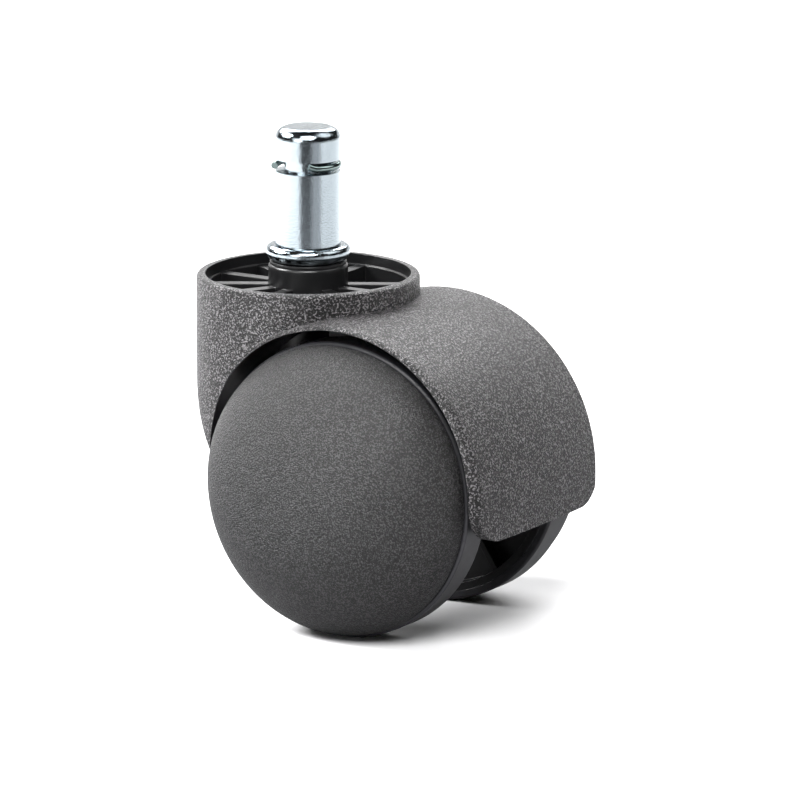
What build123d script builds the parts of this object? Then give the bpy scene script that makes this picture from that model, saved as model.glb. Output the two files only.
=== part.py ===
from build123d import *
import os
from math import cos, radians, sin, sqrt

# Hooded twin-wheel chair caster with a grip-ring stem, built as an assembly.
#
# Frame: +Z up, millimetres. The origin is on the swivel axis, at the top of the stem's collar, where the
# caster meets the chair base. The wheels trail towards +X and turn about lines parallel to Y. The chair
# travels towards -X, so the left wheel is on the -Y side.

# ---------------------------------------------------------------- driving dimensions (mm)
wheel_diameter = 50.0
wheel_gap = 23.4  # between the inner faces of the two wheels
tread_width = 5.8
trail = 16.9  # from the swivel axis back to the axle

stem_diameter = 11.0
stem_length = 20.0  # above the collar
stem_end_rounding = 1.85  # the top edge, which is rolled over more sharply near the wall
collar_diameter = 14.3
collar_thickness = 2.6
collar_top_rounding = 1.0
collar_foot_rounding = 1.3
spindle_diameter = 8.0  # the stem's lower part, inside the socket
spindle_length = 31.0  # from the top of the collar down to the tip
spindle_tip_length = 1.6  # the cone at its lower end
spindle_tip_diameter = 3.6
axle_diameter = 6.0
axle_chamfer = 0.5

running_clearance = 0.05  # radial, between a shaft and the hole it turns in
end_clearance = 0.1  # axial, between pieces that turn against each other

# Crown: the open ring round the stem socket
crown_diameter = 37.6
crown_wall = 1.5
crown_step = 0.45  # the wall is this much thicker below the ribs' tops
crown_drop = 4.95  # from the collar's top down to the crown's rim
crown_rise = 3.35  # from the hood's top up to the crown's rim
crown_lip_radius = 0.7
rib_drop = 1.85  # from the crown's rim down to the ribs
rib_thickness = 1.9
rib_pitch_deg = 30
rib_places_left_out = (2, 10)  # open pockets over the hood's shoulders

# Hood: the curved guard over both wheels
arch_gap = 1.3  # round the wheels, radial
arch_lift = 1.0  # the arch's centre above the axle
hood_rear_wall = 2.75
hood_centre_drop = 0.5  # the outer curve's centre below the axle
hood_crown_sag = 0.65  # the outer curve is this much lower at its sides
hood_edge_radius = 1.7
hood_overhang = 2.25  # past the outer face of the tread, each side
hood_skirt = 5.25  # straight part behind the wheels, below the outer curve's centre
hood_corner_radius = 6.5
hood_flare_start = 14.0  # how far behind the swivel axis the hood reaches its full width
roof_wall = 1.5  # between the crown's pockets and the wheels
front_curve_radius = 39.0  # side view of the crown's front, as it rolls under
front_curve_drop = 3.05  # from the crown's rim down to where that curve starts
front_wall = 2.0

# Socket, web and axle boss inside the hood
bush_wall = 0.95
socket_wall = 1.7
socket_floor = 2.2
socket_drop = 3.25  # from the collar's top down to the socket's rim
socket_lip_radius = 0.5
bush_flange_diameter = 12.9
bush_chamfer = 0.15
web_thickness = 6.0
web_foot_radius = 9.0  # round the axle
web_rear = 6.0  # how far the web reaches behind the axle, under the roof
axle_boss_length = 17.0
axle_boss_wall = 3.5

# Spring rings
grip_wire = 1.2
grip_ring_proud = 0.22  # how far the ring stands out of the stem
grip_groove_height = 13.6  # above the collar's top, to the groove's centre
grip_groove_width = 2.1
grip_groove_depth = 1.5
grip_ring_start_deg = 301.0
grip_ring_arc_deg = 274.0
keeper_wire = 1.1
keeper_groove_width = 1.4
keeper_groove_depth = 0.7
keeper_ring_arc_deg = 300.0
keeper_slack = 0.15  # radial, keeper ring to groove floor, and axial, to the bush above it
keeper_depth_share = 0.72  # where along the spindle the keeper ring sits

# Wheels
rim_thickness = 1.3
tyre_thickness = 1.4
tyre_edge_radius = 0.45
tyre_key_depth = 0.5
tyre_key_width = 2.0
disc_thickness = 1.2
disc_recess = 1.1  # the disc's outer face is this far inside the rim's outer edge
hub_wall = 2.95
spoke_count = 8
spoke_thickness = 1.0
spoke_recess = 1.2  # the spokes' edges are this far inside the rim's inner edge
spoke_first_deg = -57.0
washer_thickness = 0.8
washer_overlap = 3.2
clip_thickness = 0.7
clip_overlap = 1.8
clip_groove_depth = 0.5
clip_opening_deg = 70.0
axle_tail = 1.2  # axle beyond each clip
cap_seam = 0.26  # the line between the cap and the tread
cap_inset = 0.5  # the cap's rim is this much smaller in radius than the tread
cap_wall = 1.8
cap_edge_radius = 0.3
dome_depth = 12.5
spigot_width = 1.5
spigot_gap = 0.1  # from the spigot's end to the disc

# ---------------------------------------------------------------- derived sizes
wheel_radius = wheel_diameter / 2
stem_radius = stem_diameter / 2
spindle_radius = spindle_diameter / 2
axle_radius = axle_diameter / 2
collar_radius = collar_diameter / 2
crown_radius = crown_diameter / 2

arch_radius = wheel_radius + arch_gap
hood_radius = arch_radius + hood_rear_wall
crown_z = -crown_drop
hood_centre_z = crown_z - crown_rise - hood_radius
wheel_z = hood_centre_z + hood_centre_drop
arch_z = wheel_z + arch_lift
hood_low_z = hood_centre_z - hood_skirt

inner_face_y = wheel_gap / 2
outer_face_y = inner_face_y + tread_width
hood_half_width = outer_face_y + hood_overhang
boss_face_y = axle_boss_length / 2
washer_y = boss_face_y + end_clearance
hub_inner_y = washer_y + washer_thickness + end_clearance
hub_outer_y = outer_face_y - end_clearance
clip_y = hub_outer_y + end_clearance
axle_end_y = clip_y + clip_thickness + axle_tail
cap_y = outer_face_y + cap_seam
cap_radius = wheel_radius - cap_inset

bush_outer_radius = spindle_radius + running_clearance + bush_wall
column_radius = bush_outer_radius + socket_wall
socket_z = -socket_drop
column_foot_z = -(spindle_length + end_clearance + socket_floor)
keeper_z = -spindle_length * keeper_depth_share
bush_foot_z = keeper_z + keeper_wire / 2 + keeper_slack
chamber_foot_z = keeper_z - keeper_wire / 2 - 2 * keeper_slack
flange_top_z = -collar_thickness - end_clearance

axle_line = Axis((trail, 0, wheel_z), (0, 1, 0))
# Looking along +X at the axle: local x is +Y, local y is +Z, so a profile drawn here revolves about the axle.
axle_plane = Plane(origin=(trail, 0, wheel_z), x_dir=(0, 1, 0), z_dir=(1, 0, 0))
# The hood's cross-section lies flat behind the wheels: local x is +Y, local y is +X.
hood_plane = Plane(origin=(trail, 0, hood_centre_z), x_dir=(0, 1, 0), z_dir=(0, 0, -1))
far = 4 * (wheel_diameter + crown_diameter)  # longer than anything here, for cuts that run right through
past = 1.0  # how far a cut runs beyond the face that it starts from
made = []


def keep(part, name):
    """Labels a finished piece and puts it on the list to be written."""
    part.label = name
    made.append(part)


# ---------------------------------------------------------------- stem
with BuildPart() as stem:
    with BuildSketch(Plane.XZ) as stem_profile:
        with BuildLine():
            head = Line((0, stem_length), (stem_radius - stem_end_rounding, stem_length))
            shoulder = RadiusArc(head @ 1, (stem_radius, stem_length - stem_end_rounding), stem_end_rounding)
            wall = Line(shoulder @ 1, (stem_radius, 0))
            seat = Line(wall @ 1, (collar_radius - collar_top_rounding, 0))
            bead = RadiusArc(seat @ 1, (collar_radius, -collar_top_rounding), collar_top_rounding)
            edge = Line(bead @ 1, (collar_radius, -collar_thickness + collar_foot_rounding))
            foot = RadiusArc(
                edge @ 1, (collar_radius - collar_foot_rounding, -collar_thickness), collar_foot_rounding
            )
            under = Line(foot @ 1, (spindle_radius, -collar_thickness))
            spindle = Line(under @ 1, (spindle_radius, -spindle_length + spindle_tip_length))
            tip = Line(spindle @ 1, (spindle_tip_diameter / 2, -spindle_length))
            Polyline(tip @ 1, (0, -spindle_length), head @ 0)
        make_face()
    revolve(axis=Axis.Z)
    for groove_z, radius, width, depth in (
        (grip_groove_height, stem_radius, grip_groove_width, grip_groove_depth),
        (keeper_z, spindle_radius, keeper_groove_width, keeper_groove_depth),
    ):
        with BuildSketch(Plane.XY.offset(groove_z)):
            Circle(radius + past)
            Circle(radius - depth, mode=Mode.SUBTRACT)
        extrude(amount=width / 2, both=True, mode=Mode.SUBTRACT)
keep(stem.part, "stem")


def wire_ring(wire, mean_radius, height, start_deg, arc_deg):
    """A split ring of round wire about the swivel axis, from start_deg round through arc_deg."""
    start = radians(start_deg)
    turned = Plane(origin=(0, 0, height), x_dir=(cos(start), sin(start), 0), z_dir=(sin(start), -cos(start), 0))
    with BuildPart() as ring:
        with BuildSketch(turned):
            with Locations((mean_radius, 0)):
                Circle(wire / 2)
        revolve(axis=Axis.Z, revolution_arc=arc_deg)
    return ring.part


grip_mean_radius = stem_radius + grip_ring_proud - grip_wire / 2
grip_ring = wire_ring(grip_wire, grip_mean_radius, grip_groove_height, grip_ring_start_deg, grip_ring_arc_deg)
keep(grip_ring, "grip_ring")
keeper_mean_radius = spindle_radius - keeper_groove_depth + keeper_slack + keeper_wire / 2
keeper_ring = wire_ring(keeper_wire, keeper_mean_radius, keeper_z, 0, keeper_ring_arc_deg)
keep(keeper_ring, "keeper_ring")

# ---------------------------------------------------------------- socket bush
with BuildPart() as bush:
    with BuildSketch(Plane.XY.offset(bush_foot_z)):
        Circle(bush_outer_radius)
    extrude(amount=socket_z - bush_foot_z)
    with BuildSketch(Plane.XY.offset(socket_z)):
        Circle(bush_flange_diameter / 2)
    extrude(amount=flange_top_z - socket_z)
    chamfer(bush.faces().sort_by(Axis.Z)[-1].edges(), bush_chamfer)
    with BuildSketch(Plane.XY.offset(bush_foot_z)):
        Circle(spindle_radius + running_clearance)
    extrude(amount=far, mode=Mode.SUBTRACT)
keep(bush.part, "socket_bush")

# ---------------------------------------------------------------- housing
# Side view of the web's two ends: round the socket's foot and round the axle.
with BuildSketch(Plane.XZ) as web_feet:
    with Locations((0, column_foot_z + column_radius)):
        Circle(column_radius)
    with Locations((trail, wheel_z)):
        Circle(web_foot_radius)

# The spine carries the load: the stem's socket, the axle's boss and the web that joins them.
with BuildPart() as spine:
    with BuildSketch(Plane.XY.offset(column_foot_z)):
        Circle(column_radius)
    extrude(amount=socket_z - column_foot_z)
    fillet(spine.faces().sort_by(Axis.Z)[-1].edges(), socket_lip_radius)
    with BuildSketch(Plane.XZ):
        make_hull(web_feet.edges())
        web_height = arch_z + arch_radius - wheel_z
        with Locations(((trail + web_rear) / 2, wheel_z + web_height / 2)):
            Rectangle(trail + web_rear, web_height)
        with Locations((trail, arch_z)):
            Circle(arch_radius + roof_wall / 2, mode=Mode.INTERSECT)
    extrude(amount=web_thickness / 2, both=True)
    with BuildSketch(Plane.XZ):
        with Locations((trail, wheel_z)):
            Circle(axle_radius + axle_boss_wall)
    extrude(amount=boss_face_y, both=True)

# Plan outline: the crown's circle, widening smoothly into the hood.
rear_x = trail + hood_radius + past
with BuildSketch(Plane.XY.offset(crown_z)) as outline:
    Circle(crown_radius)
    with Locations(((hood_flare_start + rear_x) / 2, 0)):
        Rectangle(rear_x - hood_flare_start, 2 * hood_half_width)

with BuildPart() as footprint:
    with BuildSketch(Plane.XY.offset(crown_z)):
        make_hull(outline.edges())
    extrude(amount=-far)

# The hood's curved guard and the straight skirt behind the wheels, both from one cross-section.
with BuildPart() as guard:
    with BuildSketch(hood_plane) as section:
        with BuildLine():
            side_radius = hood_radius - hood_crown_sag
            flat_half = hood_half_width - hood_edge_radius
            crown_arc = ThreePointArc((-flat_half, side_radius), (0, hood_radius), (flat_half, side_radius))
            right_round = RadiusArc(
                crown_arc @ 1, (hood_half_width, side_radius - hood_edge_radius), hood_edge_radius
            )
            bottom = Polyline(right_round @ 1, (hood_half_width, 0), (-hood_half_width, 0),
                              (-hood_half_width, side_radius - hood_edge_radius))
            RadiusArc(bottom @ 1, crown_arc @ 0, hood_edge_radius)
        make_face()
    extrude(amount=hood_skirt)
    revolve(section.sketch, axis=Axis((trail, 0, hood_centre_z), (0, -1, 0)), revolution_arc=180)
    with BuildSketch(Plane.YZ) as rear_view:
        view_height = hood_radius + hood_skirt
        with Locations((0, hood_low_z + view_height)):
            RectangleRounded(2 * hood_half_width, 2 * view_height, hood_corner_radius)
    extrude(amount=far, both=True, mode=Mode.INTERSECT)
    add(footprint.part, mode=Mode.INTERSECT)

# Everything in front of this curve is cut away, so that the crown's front rolls under the socket.
front_curve_x = front_curve_radius - crown_radius
front_curve_z = crown_z - front_curve_drop


def front_cutter(radius):
    """The space in front of and below the crown's rolled-under front, for an outline of this radius."""
    with BuildPart() as cutter:
        with BuildSketch(Plane.XZ):
            with Locations((front_curve_x - far / 2, front_curve_z - far / 2)):
                Rectangle(far, far)
            with Locations((front_curve_x, front_curve_z)):
                Circle(radius, mode=Mode.SUBTRACT)
        extrude(amount=far, both=True)
    return cutter.part


# The space the wheels turn in, less the spine.
with BuildPart() as wells:
    with BuildSketch(Plane.XZ):
        with Locations((trail, arch_z)):
            Circle(arch_radius)
        with Locations((trail + arch_radius / 2, arch_z - far / 2)):
            Rectangle(arch_radius, far)
    extrude(amount=far, both=True)
    add(spine.part, mode=Mode.SUBTRACT)

# The crown's pockets: open at the top, divided by the ribs, closed below by the roof over the wheels.
inside_front = front_cutter(front_curve_radius - front_wall)
with BuildPart() as pockets:
    rib_top_z = crown_z - rib_drop
    with BuildSketch(Plane.XY.offset(rib_top_z)):
        Circle(crown_radius - crown_wall - crown_step)
    extrude(amount=-far)
    with BuildSketch(Plane.XZ):
        with Locations((trail, arch_z)):
            Circle(arch_radius + roof_wall)
        with Locations((trail, arch_z - far / 2)):
            Rectangle(2 * (arch_radius + roof_wall), far)
    extrude(amount=far, both=True, mode=Mode.SUBTRACT)
    add(inside_front, mode=Mode.SUBTRACT)
    rib_angles = [k * rib_pitch_deg for k in range(360 // rib_pitch_deg) if k not in rib_places_left_out]
    for angle in rib_angles:
        with BuildSketch(Plane.XY.offset(rib_top_z).rotated((0, 0, angle))):
            with Locations((crown_radius / 2, 0)):
                Rectangle(crown_radius, rib_thickness)
        extrude(amount=-far, mode=Mode.SUBTRACT)
    with BuildSketch(Plane.XY.offset(rib_top_z)):
        Circle(crown_radius - crown_wall)
    extrude(amount=far)
    with BuildSketch(Plane.XY.offset(-far)):
        Circle(column_radius)
    extrude(amount=2 * far, mode=Mode.SUBTRACT)

outside_front = front_cutter(front_curve_radius)
with BuildPart() as housing:
    with BuildSketch(Plane.XY.offset(crown_z)):
        Circle(crown_radius)
    extrude(amount=-(crown_z - wheel_z))
    fillet(housing.faces().sort_by(Axis.Z)[-1].edges(), crown_lip_radius)
    add(guard.part)
    add(outside_front, mode=Mode.SUBTRACT)
    add(spine.part)
    add(wells.part, mode=Mode.SUBTRACT)
    add(pockets.part, mode=Mode.SUBTRACT)
    with BuildSketch(Plane.XY.offset(chamber_foot_z)):
        Circle(bush_outer_radius)
    extrude(amount=far, mode=Mode.SUBTRACT)
    with BuildSketch(Plane.XY.offset(-spindle_length - end_clearance)):
        Circle(spindle_radius + running_clearance)
    extrude(amount=far, mode=Mode.SUBTRACT)
    with BuildSketch(Plane.XZ):
        with Locations((trail, wheel_z)):
            Circle(axle_radius)
    extrude(amount=far, both=True, mode=Mode.SUBTRACT)
keep(housing.part, "housing")

# ---------------------------------------------------------------- axle
with BuildPart() as axle:
    with BuildSketch(Plane.XZ):
        with Locations((trail, wheel_z)):
            Circle(axle_radius)
    extrude(amount=axle_end_y, both=True)
    chamfer(axle.edges().filter_by(GeomType.CIRCLE), axle_chamfer)
    for side in (-1, 1):
        groove_y = side * (clip_y + clip_thickness / 2)
        with BuildSketch(Plane.XZ.offset(-groove_y)):
            with Locations((trail, wheel_z)):
                Circle(axle_radius + past)
                Circle(axle_radius - clip_groove_depth, mode=Mode.SUBTRACT)
        extrude(amount=clip_thickness / 2 + running_clearance, both=True, mode=Mode.SUBTRACT)
keep(axle.part, "axle")


# ---------------------------------------------------------------- wheels, drawn on the +Y side
def disc_between(inner_radius, outer_radius, near_y, far_y):
    """A ring about the axle between two planes of constant Y."""
    with BuildPart() as ring:
        with BuildSketch(axle_plane):
            with Locations(((near_y + far_y) / 2, (inner_radius + outer_radius) / 2)):
                Rectangle(far_y - near_y, outer_radius - inner_radius)
        revolve(axis=axle_line)
    return ring.part


rim_outer_radius = wheel_radius - tyre_thickness
rim_inner_radius = rim_outer_radius - rim_thickness
hub_bore_radius = axle_radius + running_clearance
hub_radius = hub_bore_radius + hub_wall
disc_outer_y = outer_face_y - disc_recess
disc_inner_y = disc_outer_y - disc_thickness
spigot_inner_radius = rim_inner_radius - spigot_width
key_near_y = (inner_face_y + outer_face_y - tyre_key_width) / 2
key_far_y = key_near_y + tyre_key_width


def wheel_core():
    """Nylon wheel: a hub, a disc with radial spokes, and a rim with a groove that holds the tyre."""
    hub = disc_between(hub_bore_radius, hub_radius, hub_inner_y, hub_outer_y)
    disc = disc_between(hub_radius, rim_inner_radius, disc_inner_y, disc_outer_y)
    rim = disc_between(rim_inner_radius, rim_outer_radius, inner_face_y, outer_face_y)
    key_groove = disc_between(rim_outer_radius - tyre_key_depth, rim_outer_radius + past, key_near_y, key_far_y)
    spoke_mid_radius = (hub_radius + rim_inner_radius) / 2
    spoke_span = rim_inner_radius - hub_radius + 2 * rim_thickness / 3  # its ends stand in the hub and the rim
    spoke_edge_y = inner_face_y + spoke_recess
    with BuildPart() as core:
        add([hub, disc, rim])
        for k in range(spoke_count):
            angle = radians(spoke_first_deg + k * 360 / spoke_count)
            spoke_plane = Plane(
                origin=(trail, spoke_edge_y, wheel_z), x_dir=(cos(angle), 0, sin(angle)), z_dir=(0, 1, 0)
            )
            with BuildSketch(spoke_plane):
                with Locations((spoke_mid_radius, 0)):
                    Rectangle(spoke_span, spoke_thickness)
            extrude(amount=disc_inner_y - spoke_edge_y)
        add(key_groove, mode=Mode.SUBTRACT)
    return core.part


def wheel_tyre():
    """Polyurethane tread, keyed into the rim's groove."""
    band = disc_between(rim_outer_radius, wheel_radius, inner_face_y, outer_face_y)
    key = disc_between(rim_outer_radius - tyre_key_depth, rim_outer_radius, key_near_y, key_far_y)
    with BuildPart() as tyre:
        add(band)
        fillet(tyre.edges().filter_by(GeomType.CIRCLE).group_by(SortBy.RADIUS)[-1], tyre_edge_radius)
        add(key)
    return tyre.part


def wheel_cap():
    """Domed cover, with a spigot that presses into the rim."""
    inner_rim_radius = cap_radius - cap_wall
    spigot_near_y = disc_outer_y + spigot_gap
    # Where the spigot's inner wall meets the inside of the dome.
    spigot_far_y = cap_y + (dome_depth - cap_wall) * sqrt(1 - (spigot_inner_radius / inner_rim_radius) ** 2)
    with BuildPart() as cap:
        with BuildSketch(axle_plane) as half:
            with BuildLine():
                outer = EllipticalCenterArc((cap_y, 0), dome_depth, cap_radius, arc_size=90)
                Line(outer @ 1, (cap_y, inner_rim_radius))
                inner = EllipticalCenterArc((cap_y, 0), dome_depth - cap_wall, inner_rim_radius, arc_size=90)
                Line(inner @ 0, outer @ 0)
            make_face()
            fillet(half.vertices().sort_by(Axis.Y)[-1], cap_edge_radius)
            with Locations(((spigot_near_y + spigot_far_y) / 2, spigot_inner_radius + spigot_width / 2)):
                Rectangle(spigot_far_y - spigot_near_y, spigot_width)
        revolve(axis=axle_line)
    return cap.part


def thrust_washer():
    """Flat washer between the axle boss and the hub."""
    return disc_between(
        axle_radius + running_clearance, axle_radius + washer_overlap, washer_y, washer_y + washer_thickness
    )


def axle_clip():
    """Snap ring in the axle's groove, open towards the rear."""
    ring = disc_between(axle_radius - clip_groove_depth, axle_radius + clip_overlap, clip_y, clip_y + clip_thickness)
    mouth = axle_radius + clip_overlap + past
    half_mouth = mouth * sin(radians(clip_opening_deg / 2))
    with BuildPart() as clip:
        add(ring)
        with BuildSketch(Plane.XZ.offset(-clip_y)):
            with Locations((trail, wheel_z)):
                Polygon((0, 0), (mouth, half_mouth), (mouth, -half_mouth), align=None)
        extrude(amount=-clip_thickness, mode=Mode.SUBTRACT)
    return clip.part


for name, make in (
    ("wheel_core", wheel_core),
    ("wheel_tyre", wheel_tyre),
    ("wheel_cap", wheel_cap),
    ("thrust_washer", thrust_washer),
    ("axle_clip", axle_clip),
):
    right = make()
    keep(right, f"{name}_right")
    keep(right.mirror(Plane.XZ), f"{name}_left")

os.makedirs("parts", exist_ok=True)
for part in made:
    export_step(part, f"parts/{part.label}.step")
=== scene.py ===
"""Looks and stage for a hooded twin-wheel chair caster with a grip-ring stem."""

from math import cos, radians, sin

import bmesh
import bpy
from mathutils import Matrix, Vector


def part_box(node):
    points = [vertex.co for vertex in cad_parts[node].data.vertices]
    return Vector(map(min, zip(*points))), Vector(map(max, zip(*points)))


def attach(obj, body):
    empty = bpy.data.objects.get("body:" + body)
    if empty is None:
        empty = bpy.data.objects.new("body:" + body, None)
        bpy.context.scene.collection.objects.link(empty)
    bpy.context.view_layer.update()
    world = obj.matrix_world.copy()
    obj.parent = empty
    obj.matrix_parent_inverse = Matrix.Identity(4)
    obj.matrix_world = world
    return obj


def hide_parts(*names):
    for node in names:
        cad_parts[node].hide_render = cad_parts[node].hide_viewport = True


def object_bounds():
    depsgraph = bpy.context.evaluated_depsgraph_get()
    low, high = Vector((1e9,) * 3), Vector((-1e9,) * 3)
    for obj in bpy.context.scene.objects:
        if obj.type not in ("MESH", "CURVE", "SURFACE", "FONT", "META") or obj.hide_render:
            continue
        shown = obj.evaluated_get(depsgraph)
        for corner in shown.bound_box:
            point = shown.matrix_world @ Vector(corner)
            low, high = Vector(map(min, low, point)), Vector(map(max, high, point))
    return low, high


bl_info = {
    "name": "Chair Caster Builder",
    "version": (1, 0, 0),
    "blender": (4, 5, 0),
    "location": "View3D > Sidebar > Caster",
    "description": "Dresses a twin-wheel chair caster in its moulded and plated finishes and sets its stage",
    "category": "Object",
}

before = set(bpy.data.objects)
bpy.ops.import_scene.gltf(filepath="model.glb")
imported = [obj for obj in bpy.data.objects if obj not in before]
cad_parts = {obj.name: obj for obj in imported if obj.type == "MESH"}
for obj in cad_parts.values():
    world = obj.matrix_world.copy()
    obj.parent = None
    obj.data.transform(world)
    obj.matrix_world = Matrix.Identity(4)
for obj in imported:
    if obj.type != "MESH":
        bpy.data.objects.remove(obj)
CAD_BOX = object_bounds()

MM = 0.001
GROUND = CAD_BOX[0].z
AXLE_LOW, AXLE_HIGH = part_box("axle")
AXLE_CENTRE = (Vector(AXLE_LOW) + Vector(AXLE_HIGH)) / 2
SIDES = ("left", "right")

# Where the housing's tool was polished instead of eroded, in the frame's metres.
CROWN_INSIDE = 17.45 * MM  # from the swivel axis
POCKET_FOOT = -17.0 * MM
ARCH_Z = AXLE_CENTRE.z + 1.0 * MM
ARCH_INSIDE = 26.36 * MM  # from the arch's own centre line

# The parting line of the housing's tool: half its width, and how far it cuts into the grain's height.
SEAM_HALF_WIDTH = 0.08 * MM
SEAM_DEPTH = 0.12

# Where the grain's colour turns from the black pit to the painted glint of the top, on the grain's own height
# scale of about 0 to 1.
HOUSING_GRAIN_RANGE = (0.53, 0.63)
CAP_GRAIN_RANGE = (0.49, 0.62)

# How far each surface's relief stands up.
HOUSING_RELIEF = 0.5 * MM
CAP_RELIEF = 0.22 * MM
PLATING_RELIEF = 0.035 * MM
WIRE_RELIEF = 0.01 * MM

NYLON_IOR = 1.53
ACETAL_IOR = 1.48
POLYURETHANE_IOR = 1.5

# The paper under the caster that only reflections see, and the floor.
CARD_LIFT = 0.2 * MM
CARD_CENTRE = 0.002
CARD_ROUND_EDGE = 0.25
CARD_TONGUE_END = 0.95
FLOOR_HALF = 3.0

CAMERA_TARGET = Vector((0.018078, 0.0, GROUND + 0.03704))
ROOM_LIGHT = 0.02


# ---------------------------------------------------------------- colour and node helpers
def linear(hex_colour):
    """Turns an sRGB hex colour such as "1c1d1f" into a linear RGBA tuple."""
    channels = [int(hex_colour[i:i + 2], 16) / 255 for i in (0, 2, 4)]
    return (*(c / 12.92 if c <= 0.04045 else ((c + 0.055) / 1.055) ** 2.4 for c in channels), 1.0)


def add_node(tree, kind, settings=None, **sockets):
    """Adds a node, sets its settings, and fills its inputs with values or links, by input name."""
    made = tree.nodes.new(kind)
    for key, value in (settings or {}).items():
        setattr(made, key, value)
    for key, value in sockets.items():
        wanted = key.replace("_", " ").lower()
        target = next(s for s in made.inputs if s.name.lower() == wanted and s.enabled)
        if isinstance(value, bpy.types.NodeSocket):
            tree.links.new(value, target)
        else:
            target.default_value = value
    return made


def new_material(name):
    """A material with an empty node tree and its output node."""
    material = bpy.data.materials.new(name)
    material.use_nodes = True
    material.node_tree.nodes.clear()
    output = material.node_tree.nodes.new("ShaderNodeOutputMaterial")
    return material, material.node_tree, output


def finish_material(tree, output, shader):
    tree.links.new(shader.outputs[0], output.inputs["Surface"])


# ---------------------------------------------------------------- settings
class CasterPlasticSettings(bpy.types.PropertyGroup):
    """Colours and grain of the moulded pieces."""

    # The tops of the grain on the housing and the caps get a lighter grey than the nylon: painted glint,
    # standing in for the sparkle of light off the grain.
    grain_painted_glint: bpy.props.StringProperty(
        name="Grain tops", description="sRGB hex colour of the glinting tops of the grain", default="838082")
    grain_dark: bpy.props.StringProperty(
        name="Grain pits", description="sRGB hex colour of the nylon between the grains", default="010101")
    cap_painted_glint: bpy.props.StringProperty(
        name="Cap grain tops", description="sRGB hex colour of the tops of the caps' grain", default="424142")
    smooth_colour: bpy.props.StringProperty(
        name="Plain nylon colour", description="sRGB hex colour of the ungrained nylon", default="121213")
    tread_colour: bpy.props.StringProperty(
        name="Tread colour", description="sRGB hex colour of the polyurethane tread", default="323235")
    housing_grain: bpy.props.FloatProperty(
        name="Housing grain", description="Spacing of the spark-eroded grain on the housing", default=0.00042,
        unit="LENGTH", subtype="DISTANCE")
    cap_grain: bpy.props.FloatProperty(
        name="Cap grain", description="Spacing of the finer grain on the caps", default=0.00036,
        unit="LENGTH", subtype="DISTANCE")


class CasterSteelSettings(bpy.types.PropertyGroup):
    """Colours and wire size of the steel pieces."""

    zinc_colour: bpy.props.StringProperty(
        name="Zinc colour", description="sRGB hex colour of the bright zinc plating", default="a6b0b6")
    wire_colour: bpy.props.StringProperty(
        name="Wire colour", description="sRGB hex colour of the oiled spring wire", default="8fa09e")
    grip_wire: bpy.props.FloatProperty(
        name="Grip wire", description="Diameter of the grip ring's wire", default=0.0012, unit="LENGTH",
        subtype="DISTANCE")


class CasterStageSettings(bpy.types.PropertyGroup):
    """Camera and floor."""

    floor_colour: bpy.props.StringProperty(
        name="Floor colour", description="sRGB hex colour of the paper floor", default="e6e6e6")
    camera_azimuth: bpy.props.FloatProperty(
        name="Camera azimuth", description="Turn of the camera round the caster; zero looks along +Y",
        default=radians(31.46), subtype="ANGLE", unit="ROTATION")
    camera_elevation: bpy.props.FloatProperty(
        name="Camera elevation", description="Height of the camera above the horizon", default=radians(13.04),
        subtype="ANGLE", unit="ROTATION")
    camera_distance: bpy.props.FloatProperty(
        name="Camera distance", description="From the camera to the point it looks at", default=1.2587,
        unit="LENGTH", subtype="DISTANCE")
    camera_lens: bpy.props.FloatProperty(
        name="Camera lens", description="Focal length in millimetres on a 36 mm wide sensor", default=338.49)


# ---------------------------------------------------------------- materials
def reckon(tree, operation, first, second=0.0):
    """One step of arithmetic on links or numbers; its result is a link."""
    made = tree.nodes.new("ShaderNodeMath")
    made.operation = operation
    for socket, value in zip(made.inputs, (first, second)):
        if isinstance(value, bpy.types.NodeSocket):
            tree.links.new(value, socket)
        else:
            socket.default_value = value
    return made.outputs[0]


def from_axis(tree, across, along):
    """How far a point is from an axis, from its two distances at right angles to it."""
    squares = [reckon(tree, "POWER", leg, 2.0) for leg in (across, along)]
    return reckon(tree, "SQRT", reckon(tree, "ADD", *squares))


def grain_height(tree, where, spacing):
    """Spark-eroded grain: rounded pebbles a spacing apart, broken up by finer noise. It is drawn a little
    coarser than most tools leave it, so that it shows."""
    pebbles = add_node(tree, "ShaderNodeTexVoronoi", {"feature": "SMOOTH_F1"}, vector=where,
                       scale=1 / spacing, smoothness=0.4)
    speckle = add_node(tree, "ShaderNodeTexNoise", vector=where, scale=1.6 / spacing, detail=2.0,
                       roughness=0.6)
    return reckon(tree, "SUBTRACT", reckon(tree, "MULTIPLY", speckle.outputs[0], 1.5),
                  reckon(tree, "MULTIPLY", pebbles.outputs["Distance"], 0.55))


def grain_colour(tree, height, dark, light, low, high):
    """Black nylon in the pits and, on the tops of the grain, a lighter grey that is painted glint, standing
    in for the sparkle of light off the grain.
    """
    ramp = add_node(tree, "ShaderNodeMapRange", {"interpolation_type": "SMOOTHSTEP"}, value=height,
                    from_min=low, from_max=high)
    mix = add_node(tree, "ShaderNodeMix", {"data_type": "RGBA"}, factor=ramp.outputs[0])
    mix.inputs[6].default_value = linear(dark)
    # The light colour is the painted glint of the grain's tops.
    mix.inputs[7].default_value = linear(light)
    return mix.outputs[2]


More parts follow.
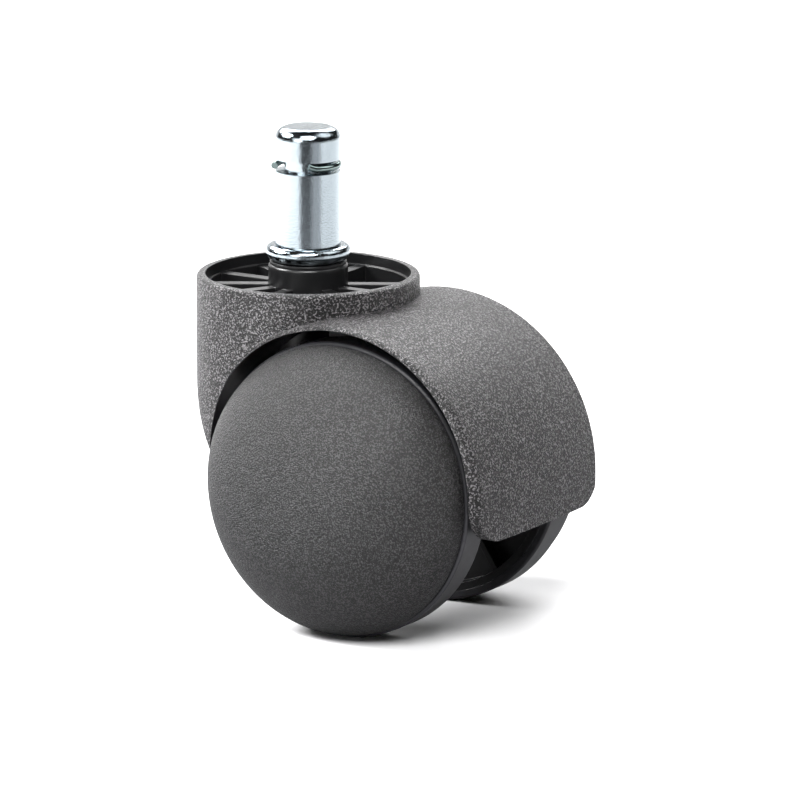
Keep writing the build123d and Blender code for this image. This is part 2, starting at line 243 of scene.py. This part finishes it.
def housing_nylon(plastic):
    """Black nylon moulded in one shot. The outside comes from a spark-eroded tool: matte, with a sparkle
    where grains catch the light, partly from the grain's relief and partly painted: the lighter tops of the
    grain are painted glint. The crown's pockets and the arches come from a polished core: near black,
    with bright edges."""
    material, tree, output = new_material("nylon_spark_eroded")
    where = add_node(tree, "ShaderNodeTexCoord").outputs["Object"]
    place = add_node(tree, "ShaderNodeSeparateXYZ", vector=where)
    x, y, z = place.outputs
    from_swivel = from_axis(tree, x, y)
    in_crown = reckon(tree, "MULTIPLY", reckon(tree, "LESS_THAN", from_swivel, CROWN_INSIDE),
                    reckon(tree, "GREATER_THAN", z, POCKET_FOOT))
    back = reckon(tree, "SUBTRACT", x, AXLE_CENTRE.x)
    up = reckon(tree, "SUBTRACT", z, ARCH_Z)
    behind = reckon(tree, "GREATER_THAN", back, 0.0)
    below = reckon(tree, "LESS_THAN", up, 0.0)
    skirt = reckon(tree, "MULTIPLY", behind, below)
    rise = reckon(tree, "MULTIPLY", up, reckon(tree, "SUBTRACT", 1.0, skirt))
    from_arch = from_axis(tree, back, rise)
    smooth = reckon(tree, "MAXIMUM", in_crown, reckon(tree, "LESS_THAN", from_arch, ARCH_INSIDE))
    grained = reckon(tree, "SUBTRACT", 1.0, smooth)

    height = grain_height(tree, where, plastic.housing_grain)
    # The tool's parting line runs down the middle of the hood as a hair-fine step.
    seam = reckon(tree, "LESS_THAN", reckon(tree, "ABSOLUTE", y), SEAM_HALF_WIDTH)
    sunk = reckon(tree, "SUBTRACT", height, reckon(tree, "MULTIPLY", seam, SEAM_DEPTH))
    # The lighter grain tops in this colour are painted glint, not a colour of the nylon.
    colour = grain_colour(tree, sunk, plastic.grain_dark, plastic.grain_painted_glint, *HOUSING_GRAIN_RANGE)
    split = add_node(tree, "ShaderNodeMix", {"data_type": "RGBA"}, factor=smooth)
    tree.links.new(colour, split.inputs[6])
    split.inputs[7].default_value = linear(plastic.smooth_colour)
    relief = reckon(tree, "MULTIPLY", sunk, grained)
    rounded = add_node(tree, "ShaderNodeBevel", {"samples": 6}, radius=0.25 * MM)
    bump = add_node(tree, "ShaderNodeBump", strength=1.0, distance=HOUSING_RELIEF, height=relief,
                    normal=rounded.outputs[0])
    rough = add_node(tree, "ShaderNodeMapRange", value=smooth, to_min=0.38, to_max=0.32)
    shader = add_node(tree, "ShaderNodeBsdfPrincipled", base_color=split.outputs[2], ior=NYLON_IOR,
                      roughness=rough.outputs[0], normal=bump.outputs[0])
    finish_material(tree, output, shader)
    return material


def cap_nylon(plastic):
    """Black nylon moulded against a finely eroded tool: satin, with a soft speckle, partly from the grain's
    relief and partly painted glint on the grain's tops.
    """
    material, tree, output = new_material("nylon_fine_grain")
    where = add_node(tree, "ShaderNodeTexCoord").outputs["Object"]
    height = grain_height(tree, where, plastic.cap_grain)
    # The lighter grain tops in this colour are painted glint.
    colour = grain_colour(tree, height, plastic.grain_dark, plastic.cap_painted_glint, *CAP_GRAIN_RANGE)
    bump = add_node(tree, "ShaderNodeBump", strength=1.0, distance=CAP_RELIEF, height=height)
    shader = add_node(tree, "ShaderNodeBsdfPrincipled", base_color=colour, roughness=0.42, ior=NYLON_IOR,
                      normal=bump.outputs[0])
    finish_material(tree, output, shader)
    return material


def smooth_plastic(name, colour, roughness, ior=NYLON_IOR):
    """Moulded against a polished tool: dark, with soft reflections and rounded edges that catch the light."""
    material, tree, output = new_material(name)
    where = add_node(tree, "ShaderNodeTexCoord").outputs["Object"]
    flow = add_node(tree, "ShaderNodeTexNoise", vector=where, scale=1 / (1.2 * MM), detail=3.0)
    rough = add_node(tree, "ShaderNodeMapRange", value=flow.outputs[0], to_min=roughness - 0.06,
                     to_max=roughness + 0.06)
    tint = add_node(tree, "ShaderNodeMapRange", value=flow.outputs[0], to_min=0.75, to_max=1.25)
    shade = add_node(tree, "ShaderNodeMix", {"data_type": "RGBA", "blend_type": "MULTIPLY"}, factor=1.0)
    shade.inputs[6].default_value = linear(colour)
    tree.links.new(tint.outputs[0], shade.inputs[7])
    rounded = add_node(tree, "ShaderNodeBevel", {"samples": 4}, radius=0.15 * MM)
    bump = add_node(tree, "ShaderNodeBump", strength=0.4, distance=0.01 * MM, height=flow.outputs[0],
                    normal=rounded.outputs[0])
    shader = add_node(tree, "ShaderNodeBsdfPrincipled", base_color=shade.outputs[2], ior=ior,
                      roughness=rough.outputs[0], normal=bump.outputs[0])
    finish_material(tree, output, shader)
    return material


def bright_zinc(name, colour, roughness, crystal_depth):
    """Steel plated in bright zinc: a blue-white mirror broken up by the fine crystals of the plating, drawn
    at 0.3 mm, coarser than they are, so that they show."""
    material, tree, output = new_material(name)
    where = add_node(tree, "ShaderNodeTexCoord").outputs["Object"]
    crystals = add_node(tree, "ShaderNodeTexNoise", vector=where, scale=1 / (0.3 * MM), detail=3.0,
                        roughness=0.6)
    bump = add_node(tree, "ShaderNodeBump", strength=1.0, distance=crystal_depth, height=crystals.outputs[0])
    rough = add_node(tree, "ShaderNodeMapRange", value=crystals.outputs[0], to_min=roughness - 0.05,
                     to_max=roughness + 0.05)
    shader = add_node(tree, "ShaderNodeBsdfPrincipled", base_color=linear(colour), metallic=1.0,
                      roughness=rough.outputs[0], normal=bump.outputs[0])
    finish_material(tree, output, shader)
    return material


def paper(name, colour):
    """Paper sweep: matte, with a faint fibre mottle."""
    material, tree, output = new_material(name)
    where = add_node(tree, "ShaderNodeTexCoord").outputs["Object"]
    fibre = add_node(tree, "ShaderNodeTexNoise", vector=where, scale=1 / (4 * MM), detail=4.0)
    bump = add_node(tree, "ShaderNodeBump", strength=0.05, distance=0.05 * MM, height=fibre.outputs[0])
    shader = add_node(tree, "ShaderNodeBsdfPrincipled", base_color=linear(colour), roughness=0.9,
                      specular_ior_level=0.0, normal=bump.outputs[0])
    finish_material(tree, output, shader)
    return material


def dress(node, material):
    """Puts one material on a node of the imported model."""
    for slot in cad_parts[node].material_slots:
        slot.material = material


# ---------------------------------------------------------------- shapes
def bent_wire(name, route, diameter):
    """A smooth round wire through the points of a route, with square-cut ends."""
    curve = bpy.data.curves.new(name, "CURVE")
    curve.dimensions = "3D"
    curve.bevel_depth = diameter / 2
    curve.bevel_resolution = 6
    curve.resolution_u = 6
    curve.use_fill_caps = True
    spline = curve.splines.new("NURBS")
    spline.points.add(len(route) - 1)
    for point, place in zip(spline.points, route):
        point.co = (*place, 1.0)
    spline.use_endpoint_u = True
    spline.order_u = 4
    wire = bpy.data.objects.new(name, curve)
    bpy.context.scene.collection.objects.link(wire)
    return wire


def grip_ring_route(wire):
    """From the hooked end, round the back of the groove, to the end that springs clear of the stem."""
    low, high = (Vector(corner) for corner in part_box("grip_ring"))
    height = (low.z + high.z) / 2
    seated = -low.x - wire / 2  # the ring's mean radius in the groove
    steps = 48
    start, sweep = radians(304), radians(266)
    hook_rise, hook_reach, hook_length = 0.45 * MM, 0.12 * MM, 0.07
    spring_reach, spring_drop, spring_length = 0.5 * MM, 0.35 * MM, 0.16
    route = []
    for k in range(steps + 1):
        share = k / steps
        hooked = max(0.0, 1 - share / hook_length) ** 2
        sprung = max(0.0, 1 - (1 - share) / spring_length) ** 2
        radius = seated + hook_reach * hooked + spring_reach * sprung
        angle = start + sweep * share
        level = height + hook_rise * hooked - spring_drop * sprung
        route.append((radius * cos(angle), radius * sin(angle), level))
    return route


# ---------------------------------------------------------------- operators
class CASTER_OT_stem(bpy.types.Operator):
    """Plate the stem and its spring rings"""

    bl_idname = "caster.stem"
    bl_label = "Stem"

    def execute(self, context):
        steel = context.scene.caster_steel
        dress("stem", bright_zinc("steel_zinc_plated", steel.zinc_colour, 0.12, PLATING_RELIEF))
        wire = bright_zinc("spring_steel_wire", steel.wire_colour, 0.2, WIRE_RELIEF)
        dress("keeper_ring", wire)
        grip = bent_wire("grip_ring_wire", grip_ring_route(steel.grip_wire), steel.grip_wire)
        grip.data.materials.append(wire)
        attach(grip, "stem")
        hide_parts("grip_ring")
        return {"FINISHED"}


class CASTER_OT_housing(bpy.types.Operator):
    """Give the housing its grain"""

    bl_idname = "caster.housing"
    bl_label = "Housing"

    def execute(self, context):
        plastic = context.scene.caster_plastic
        dress("housing", housing_nylon(plastic))
        dress("socket_bush", smooth_plastic("acetal_moulded", plastic.smooth_colour, 0.32, ACETAL_IOR))
        return {"FINISHED"}


class CASTER_OT_wheels(bpy.types.Operator):
    """Finish both wheels and what holds them on the axle"""

    bl_idname = "caster.wheels"
    bl_label = "Wheels"

    def execute(self, context):
        plastic = context.scene.caster_plastic
        steel = context.scene.caster_steel
        cap = cap_nylon(plastic)
        core = smooth_plastic("nylon_moulded_plain", plastic.smooth_colour, 0.35)
        tread = smooth_plastic("polyurethane_cast", plastic.tread_colour, 0.3, POLYURETHANE_IOR)
        axle_steel = bright_zinc("steel_drawn_zinc_plated", steel.zinc_colour, 0.3, WIRE_RELIEF)
        clip_steel = bright_zinc("spring_steel_blued", steel.wire_colour, 0.35, WIRE_RELIEF)
        dress("axle", axle_steel)
        for side in SIDES:
            dress(f"wheel_cap_{side}", cap)
            dress(f"wheel_core_{side}", core)
            dress(f"wheel_tyre_{side}", tread)
            dress(f"thrust_washer_{side}", core)
            dress(f"axle_clip_{side}", clip_steel)
        return {"FINISHED"}


def place_round(item, azimuth, elevation, distance, target):
    """Puts a light or camera on a sphere round the target, looking at it."""
    back = Vector((sin(azimuth) * cos(elevation), -cos(azimuth) * cos(elevation), sin(elevation)))
    item.rotation_mode = "QUATERNION"
    item.location = target + back * distance
    item.rotation_quaternion = (-back).to_track_quat("-Z", "Y")


# Soft boxes: name, azimuth and elevation in degrees, distance, width and height in metres, power in watts.
SOFT_BOXES = (
    ("soft_box_key", -66, 38, 1.0, 0.38, 0.38, 20.0),
    ("soft_box_fill", -3.5, 18, 1.0, 0.5, 0.5, 3.5),
    ("soft_box_front", 31.5, 46, 1.0, 0.5, 0.5, 14.0),
    ("soft_box_right", 121.5, 50, 1.1, 0.7, 0.7, 3.2),
    ("soft_box_horizon", 211.5, 8, 1.0, 2.0, 0.26, 2.2),
    ("soft_box_back", 221, 38, 1.0, 1.2, 0.4, 15.0),
)


def dark_card(azimuth):
    """Paper on the floor that only reflections and bounced light see: a grey round under the caster keeps the
    lower halves of the wheels and the hood dark, and a black and a grey tongue in front draw the stripe down
    the stem."""
    steps = 16
    height = GROUND + CARD_LIFT
    black, grey = 0, 1
    strips = (  # from and to in degrees round the camera's azimuth, from and to in metres, and which paper
        (-180, 180, CARD_CENTRE, CARD_ROUND_EDGE, grey),
        (-28, 14, CARD_ROUND_EDGE, CARD_TONGUE_END, black),
        (14, 46, CARD_ROUND_EDGE, CARD_TONGUE_END, grey),
    )
    card = bmesh.new()
    for left, right, start, end, shade in strips:
        rows = []
        for k in range(steps + 1):
            angle = azimuth + radians(left + (right - left) * k / steps)
            rows.append([card.verts.new((r * sin(angle), -r * cos(angle), height)) for r in (start, end)])
        for (a, b), (c, d) in zip(rows, rows[1:]):
            card.faces.new((a, b, d, c)).material_index = shade
    mesh = bpy.data.meshes.new("dark_card")
    card.to_mesh(mesh)
    card.free()
    mesh.materials.append(paper("paper_black", "060608"))
    mesh.materials.append(paper("paper_grey", "909092"))
    item = bpy.data.objects.new("dark_card", mesh)
    item.visible_camera = False
    item.visible_shadow = False
    return item


class CASTER_OT_stage(bpy.types.Operator):
    """Lay the paper floor, hang the soft boxes and set up the camera"""

    bl_idname = "caster.stage"
    bl_label = "Stage"

    def execute(self, context):
        stage = context.scene.caster_stage
        scene = context.scene
        mesh = bpy.data.meshes.new("paper_floor")
        corners = ((-1, -1), (1, -1), (1, 1), (-1, 1))
        mesh.from_pydata([(x * FLOOR_HALF, y * FLOOR_HALF, GROUND) for x, y in corners], [], [(0, 1, 2, 3)])
        floor = bpy.data.objects.new("paper_floor", mesh)
        mesh.materials.append(paper("paper_white", stage.floor_colour))
        scene.collection.objects.link(floor)
        scene.collection.objects.link(dark_card(stage.camera_azimuth))
        for name, azimuth, elevation, distance, width, height, power in SOFT_BOXES:
            data = bpy.data.lights.new(name, "AREA")
            data.shape = "RECTANGLE"
            data.size = width
            data.size_y = height
            data.energy = power
            light = bpy.data.objects.new(name, data)
            scene.collection.objects.link(light)
            place_round(light, radians(azimuth), radians(elevation), distance, CAMERA_TARGET)
        world = bpy.data.worlds.new("studio_room")
        world.use_nodes = True
        background = world.node_tree.nodes["Background"]
        background.inputs["Color"].default_value = (1, 1, 1, 1)
        background.inputs["Strength"].default_value = ROOM_LIGHT
        scene.world = world
        data = bpy.data.cameras.new("product_camera")
        data.lens = stage.camera_lens
        data.sensor_width = 36.0
        data.clip_end = 50.0
        camera = bpy.data.objects.new("product_camera", data)
        scene.collection.objects.link(camera)
        place_round(camera, stage.camera_azimuth, stage.camera_elevation, stage.camera_distance,
                    CAMERA_TARGET)
        scene.camera = camera
        scene.view_settings.view_transform = "Standard"
        return {"FINISHED"}


class CASTER_PT_panel(bpy.types.Panel):
    """Caster building steps"""

    bl_idname = "CASTER_PT_panel"
    bl_label = "Chair Caster"
    bl_space_type = "VIEW_3D"
    bl_region_type = "UI"
    bl_category = "Caster"

    def draw(self, context):
        for step in OPERATORS:
            self.layout.operator(step.bl_idname)
        for group in ("caster_plastic", "caster_steel", "caster_stage"):
            settings = getattr(context.scene, group)
            box = self.layout.box()
            for key in settings.__annotations__:
                box.prop(settings, key)


SETTINGS = {
    "caster_plastic": CasterPlasticSettings,
    "caster_steel": CasterSteelSettings,
    "caster_stage": CasterStageSettings,
}
OPERATORS = (CASTER_OT_stem, CASTER_OT_housing, CASTER_OT_wheels, CASTER_OT_stage)


def register():
    for name, group in SETTINGS.items():
        bpy.utils.register_class(group)
        setattr(bpy.types.Scene, name, bpy.props.PointerProperty(type=group))
    for step in (*OPERATORS, CASTER_PT_panel):
        bpy.utils.register_class(step)


def unregister():
    for step in (CASTER_PT_panel, *reversed(OPERATORS)):
        bpy.utils.unregister_class(step)
    for name, group in reversed(SETTINGS.items()):
        delattr(bpy.types.Scene, name)
        bpy.utils.unregister_class(group)


def main():
    register()
    bpy.ops.caster.stem()
    bpy.ops.caster.housing()
    bpy.ops.caster.wheels()
    bpy.ops.caster.stage()


if __name__ == "__main__":
    main()
